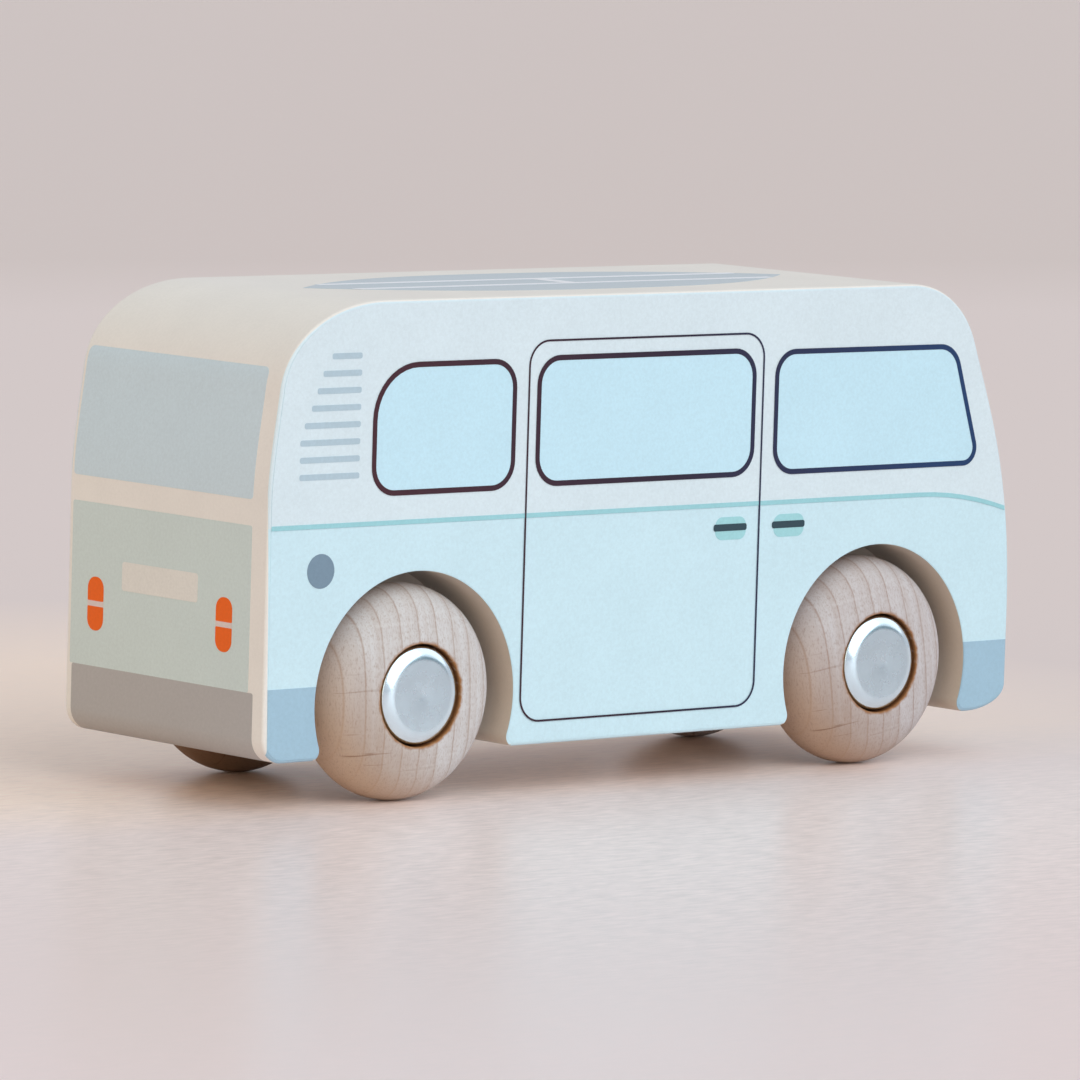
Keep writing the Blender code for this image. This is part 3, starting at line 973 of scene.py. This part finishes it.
def print_tail(tail, inks):
    """Rear window, panel, bumper, blank plate and lamps."""
    shift = TAIL_PRINT_SHIFT
    right, left = shift - 17.1 * MM, shift + 17.1 * MM
    window = rounded(box_corners(right, left, *mm(36.9, 52.3)), mm(0.5, 0.5, 0.8, 0.8))
    tail.print("rear_window_print", [[window]], 0, inks["tail_window"])
    panel = rounded_box(right, left, END_BUMPER_TOP, *mm(33.8, 0.3))
    tail.print("rear_panel_print", [[panel]], 0, inks["tail_panel"])
    bumper = rounded_box(*mm(-16.9, 17.8), tail.knee - BUMPER_TUCK, END_BUMPER_TOP, 0.3 * MM)
    tail.print("rear_bumper_print", [[bumper]], 0, inks["tail_bumper"])
    plate = rounded_box(shift - 7.25 * MM, shift + 7.25 * MM, *mm(23.8, 27.25, 0.4))
    tail.print("rear_plate_print", [[plate]], 1, inks["plate"])
    lamp_half, tight, round_end = mm(1.53, 0.15, 1.4)
    lamp_foot, gap_foot, gap_top, lamp_top = mm(18.5, 21.4, 22.05, 24.95)
    gaps, lamps = [], []
    for y in (shift - 12.3 * MM, shift + 12.3 * MM):
        near, far = y - lamp_half, y + lamp_half
        upper = rounded(box_corners(near, far, gap_top, lamp_top), [tight, tight, round_end, round_end])
        lower = rounded(box_corners(near, far, lamp_foot, gap_foot), [round_end, round_end, tight, tight])
        lamps += [[upper], [lower]]
        gaps.append([box_corners(near, far, gap_foot, gap_top)])
    tail.print("rear_lamps", lamps, 1, inks["lamp"])
    tail.print("rear_lamp_gaps", gaps, 1, inks["lamp_gap"])


def print_nose(nose, inks):
    """Windscreen, panel, headlamps, indicators and bumper, as plain as the tail."""
    screen = mm(-16.6, 16.6, 37.0, 52.2)
    screen_radius = 1.6 * MM
    nose.print("windscreen_print", [[rounded_box(*screen, screen_radius)]], 0, inks["pane"])
    outline = stroke(box_corners(*screen), [screen_radius] * 4, PANE_OUTLINE)
    nose.print("windscreen_outline", [outline], 1, inks["outline"])
    panel = rounded_box(*mm(-17.1, 17.1), END_BUMPER_TOP, *mm(33.4, 0.3))
    nose.print("front_panel_print", [[panel]], 0, inks["lower"])
    bumper = rounded_box(*mm(-17.3, 17.3), nose.knee - BUMPER_TUCK, END_BUMPER_TOP, 0.3 * MM)
    nose.print("front_bumper_print", [[bumper]], 0, inks["bumper_end"])
    lamp_z = 22.6 * MM
    rims, lamps, signals = [], [], []
    for y in mm(-11.6, 11.6):
        rims.append([disc((y, lamp_z), 3.5 * MM)])
        lamps.append([disc((y, lamp_z), 2.8 * MM)])
        signals.append([rounded_box(y - 1.7 * MM, y + 1.7 * MM, *mm(28.2, 29.6, 0.65))])
    nose.print("headlamp_rims", rims, 1, inks["filler"])
    nose.print("headlamps", lamps, 2, inks["plate"])
    nose.print("front_indicators", signals, 1, inks["lamp"])


def print_roof(roof_z, inks):
    """A long pointed panel with two thin lengthwise lines and a short bar between them."""
    middle, half_length, half_width = mm(-1.8, 38.5, 12.3)
    line_y, line_half, line_reach = mm(3.6, 0.6, 33.5)
    bar_rear, bar_front = mm(-1.9, 0.1)
    taper = 2.6

    def lay(x, y, lift):
        return Vector((x, y, roof_z + lift))

    def edge(share):
        return half_width * (1 - abs(share) ** taper)

    shares = [2 * step / ROOF_STEPS - 1 for step in range(ROOF_STEPS + 1)]
    board = [Vector((middle + half_length * share, -edge(share))) for share in shares]
    board += [Vector((middle + half_length * share, edge(share))) for share in shares[-2:0:-1]]
    ink("roof_panel_print", [[board]], lay, 0, inks["roof"])
    stripes = []
    for y in (-line_y, line_y):
        ends = (middle - line_reach, middle + line_reach)
        stripes.append([rounded_box(*ends, y - line_half, y + line_half, 0.2 * MM)])
    stripes.append([rounded_box(bar_rear, bar_front, line_half - line_y, line_y - line_half, 0.2 * MM)])
    ink("roof_stripes", stripes, lay, 1, inks["roof_stripe"])


def print_van(rows, low, high, axles, colours):
    inks = {name: ink_material(name, colours[name]) for name in INKS}
    inks["outline"] = outline_material()
    points, normals = outline_points(rows)
    loop = side_loop(points, normals, low, axles)
    for side in (LEFT, RIGHT):
        print_side(side, loop, high.y, axles, inks)
    print_tail(EndSurface(points, normals, -1), inks)
    print_nose(EndSurface(points, normals, 1), inks)
    print_roof(high.z, inks)


# Running gear

def wheel_mesh(radius, thickness, bore):
    """Bored and counterbored disc with a slightly crowned face and well rounded edges."""
    lip, back = thickness / 2, -thickness / 2
    shoulder = lip - WHEEL_FACE_CROWN
    floor = lip - COUNTERBORE_DEPTH
    section = [(bore, floor), (COUNTERBORE_RADIUS, floor)]
    section += arc((COUNTERBORE_RADIUS + LIP_ROUND, lip - LIP_ROUND), LIP_ROUND, 180, 90, 4)
    crown_steps = 6
    crown_start = COUNTERBORE_RADIUS + LIP_ROUND
    crown_end = radius - WHEEL_FACE_ROUND
    for step in range(1, crown_steps):
        share = step / crown_steps
        crown_radius = crown_start + (crown_end - crown_start) * share
        section.append((crown_radius, lip - WHEEL_FACE_CROWN * share * share))
    section += arc((crown_end, shoulder - WHEEL_FACE_ROUND), WHEEL_FACE_ROUND, WHEEL_ROUND_START, 0, 16)
    section += arc((radius - WHEEL_BACK_ROUND, back + WHEEL_BACK_ROUND), WHEEL_BACK_ROUND, 0, -90, 14)
    section.append((bore, back))
    return turned_mesh("turned_wheel", section)


def cap_mesh(radius, height):
    """Cup drawn from thin sheet: a flat face, a leaning flank, a skirt and a mouth crimped inwards."""
    inner = radius - CAP_SHEET
    lean = math.radians(CAP_FLANK_LEAN)
    section = [(0, height - CAP_DIMPLE_DEPTH), (CAP_DIMPLE_RADIUS * 0.5, height - CAP_DIMPLE_DEPTH * 0.8)]
    section += [(CAP_DIMPLE_RADIUS, height), (CAP_FACE_RADIUS * 0.6, height)]
    edge_centre = (CAP_FACE_RADIUS, height - CAP_EDGE_ROUND)
    section += arc(edge_centre, CAP_EDGE_ROUND, 90, CAP_FLANK_LEAN, 8)
    flank_top = Vector(section[-1])
    skirt_top = flank_top.y - (radius - flank_top.x) / math.tan(lean)
    knuckle = CAP_KNUCKLE * math.tan(lean / 2)
    section += arc((radius - CAP_KNUCKLE, skirt_top - knuckle), CAP_KNUCKLE, CAP_FLANK_LEAN, 0, 5)
    section += [(radius, 0), (inner - CAP_CRIMP, 0), (inner - CAP_CRIMP, CAP_SHEET), (inner, CAP_SHEET)]
    inward = CAP_SHEET * Vector((math.cos(lean), math.sin(lean)))
    section += [(inner, skirt_top - inward.y / 2), tuple(flank_top - inward)]
    section += [(CAP_FACE_RADIUS, height - CAP_SHEET), (0, height - CAP_SHEET)]
    return turned_mesh("drawn_cap", section)


def outward(side):
    """Turns local +Z out of one side of the van."""
    return Matrix.Rotation(-side * math.pi / 2, 4, "X")


def make_wheel(end, side, shape, beech):
    hand = SIDE_NAMES[side]
    node = f"{end}_{hand}_wheel"
    low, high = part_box(node)
    turned = new_object(f"{node}_turned", shape.copy())
    turned.matrix_world = Matrix.Translation((low + high) / 2) @ outward(side)
    # The grain's turn also sets where a wheel's painted shade falls, and one wheel's tone is painted shade.
    grain_turn, tone = WHEEL_WOOD[end, side]
    turned.pass_index = grain_turn
    turned.color = (*tone, 1.0)
    dress(turned, f"wheel_{end}_{hand}", beech, node)


def make_cap(end, side, shape, cap_steel):
    node = f"{end}_{SIDE_NAMES[side]}_hub_cap"
    low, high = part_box(node)
    mouth = (low + high) / 2
    mouth.y = low.y if side == LEFT else high.y
    drawn = new_object(f"{node}_drawn", shape.copy())
    drawn.matrix_world = Matrix.Translation(mouth) @ outward(side)
    dress(drawn, f"{end}_axle_set", cap_steel, node)


def make_running_gear(axles):
    """Finer wheels and caps in the place of the plain ones."""
    cap_steel = steel_material("cap_steel", srgb(222, 241, 252), 0.28, 0.015, CAP_FACE_RADIUS)
    wheel_low, wheel_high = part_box("front_left_wheel")
    beech = beech_material((wheel_high.y - wheel_low.y) / 2)
    cap_low, cap_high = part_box("front_left_hub_cap")
    bore = axles[0][1] + RUNNING_CLEARANCE
    wheel = wheel_mesh((wheel_high.x - wheel_low.x) / 2, wheel_high.y - wheel_low.y, bore)
    cap = cap_mesh((cap_high.x - cap_low.x) / 2, cap_high.y - cap_low.y)
    for end, side in WHEEL_WOOD:
        make_wheel(end, side, wheel, beech)
        make_cap(end, side, cap, cap_steel)


def finish_hidden_steel(nodes):
    """Gives the axles, rings and washers their steel."""
    finishes = {
        "axle": steel_material("axle_steel", srgb(190, 190, 192), 0.3, 0.08),
        "retaining_ring": steel_material("spring_steel", srgb(120, 121, 126), 0.38, 0.08),
        "spacer_washer": steel_material("washer_steel", srgb(198, 200, 203), 0.36, 0.08),
    }
    for name, node in nodes.items():
        for ending, material in finishes.items():
            if name.endswith(ending):
                cover(node, material)


# Stage

def make_floor():
    bpy.ops.mesh.primitive_circle_add(vertices=FLOOR_SIDES, radius=FLOOR_RADIUS, fill_type="NGON")
    floor = bpy.context.object
    floor.name = "floor"
    floor.data.materials.append(floor_material())


def make_lamp(name, towards, energy, angle, colour):
    """A lamp far away, as wide as the angle it fills, in degrees."""
    lamp = bpy.data.lights.new(name, "SUN")
    lamp.energy = energy
    lamp.angle = math.radians(angle)
    lamp.color = colour
    holder = new_object(name, lamp)
    holder.location = towards
    holder.rotation_euler = (-Vector(towards)).to_track_quat("-Z", "Y").to_euler()


def make_room():
    """A room that glows warm from below and cool from above.

    Where it is seen, straight or by reflection, an even backdrop takes its place. Reflections also show a
    dim patch in that, which the steel needs.
    """
    world = bpy.data.worlds.new("room")
    bpy.context.scene.world = world
    world.use_nodes = True
    tree = world.node_tree
    light = tree.nodes["Background"]
    light.inputs["Strength"].default_value = 0.58
    path = add(tree, "ShaderNodeLightPath").outputs
    towards = add(tree, "ShaderNodeTexCoord").outputs["Generated"]
    warm, cool = (0.95, 0.81, 0.73), (0.87, 0.945, 1.0)
    glow = ramp(tree, parts_of(tree, towards)["Z"], [(0.0, warm), (1.0, cool)])
    tree.links.new(glow, light.inputs["Color"])
    beside = along(tree, towards, (0.65, -0.725, 0.225))
    dim = maths(tree, "SUBTRACT", spread(tree, beside, 0.93, 0.98), path["Is Camera Ray"], True)
    backdrop = blend_colour(tree, dim, srgb(208, 206, 210), srgb(105, 122, 130))
    pale = add(tree, "ShaderNodeBackground", {"Color": backdrop, "Strength": 1.0})
    seen = maths(tree, "MAXIMUM", path["Is Camera Ray"], path["Is Glossy Ray"])
    seen = maths(tree, "MAXIMUM", seen, path["Is Transmission Ray"])
    both = add(tree, "ShaderNodeMixShader", {0: seen, 1: light.outputs[0], 2: pale.outputs[0]})
    tree.links.new(both.outputs[0], tree.nodes["World Output"].inputs["Surface"])


def make_lights():
    """A broad cool lamp before the van's right side, a weak one by its nose and a warm one behind it."""
    make_lamp("broad_lamp", (0.05, -0.82, 0.57), 1.38, 65, (0.885, 0.98, 1.0))
    make_lamp("nose_lamp", (0.75, -0.35, 0.56), 0.35, 50, (0.93, 0.98, 1.0))
    make_lamp("warm_lamp", (-0.95, -0.2, 0.25), 0.64, 60, (1.0, 0.88, 0.58))
    make_room()


def make_camera():
    flat = math.cos(VIEW_ELEVATION)
    back = Vector((math.sin(VIEW_AZIMUTH) * flat, -math.cos(VIEW_AZIMUTH) * flat, math.sin(VIEW_ELEVATION)))
    right = Vector((0, 0, 1)).cross(back).normalized()
    up = back.cross(right)
    camera = bpy.data.cameras.new("photo_view")
    camera.sensor_fit = "HORIZONTAL"
    camera.sensor_width = SENSOR
    camera.lens = LENS
    holder = new_object("photo_view", camera)
    level = Matrix((right, up, back)).transposed().to_4x4()
    place = back * VIEW_DISTANCE + right * AIM_RIGHT + up * AIM_UP
    holder.matrix_world = Matrix.Translation(place) @ level @ Matrix.Rotation(VIEW_ROLL, 4, "Z")
    bpy.context.scene.camera = holder


def main():
    clear_scene()
    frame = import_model()
    low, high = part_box("body_block")
    axles = []
    for name in ("front_axle", "rear_axle"):
        axle_low, axle_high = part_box(name)
        axles.append(((axle_low + axle_high) / 2, (axle_high.x - axle_low.x) / 2))
    colours = {name: srgb(*screen) for name, screen in (PAINTS | INKS).items()}
    rows = outline_rows(low, high)
    make_block(rows, low, high, axles, block_material(high.y, axles, colours))
    print_van(rows, low, high, axles, colours)
    make_running_gear(axles)
    finish_hidden_steel(frame["nodes"])
    make_floor()
    make_lights()
    make_camera()
    bpy.context.scene.view_settings.view_transform = "Standard"


main()
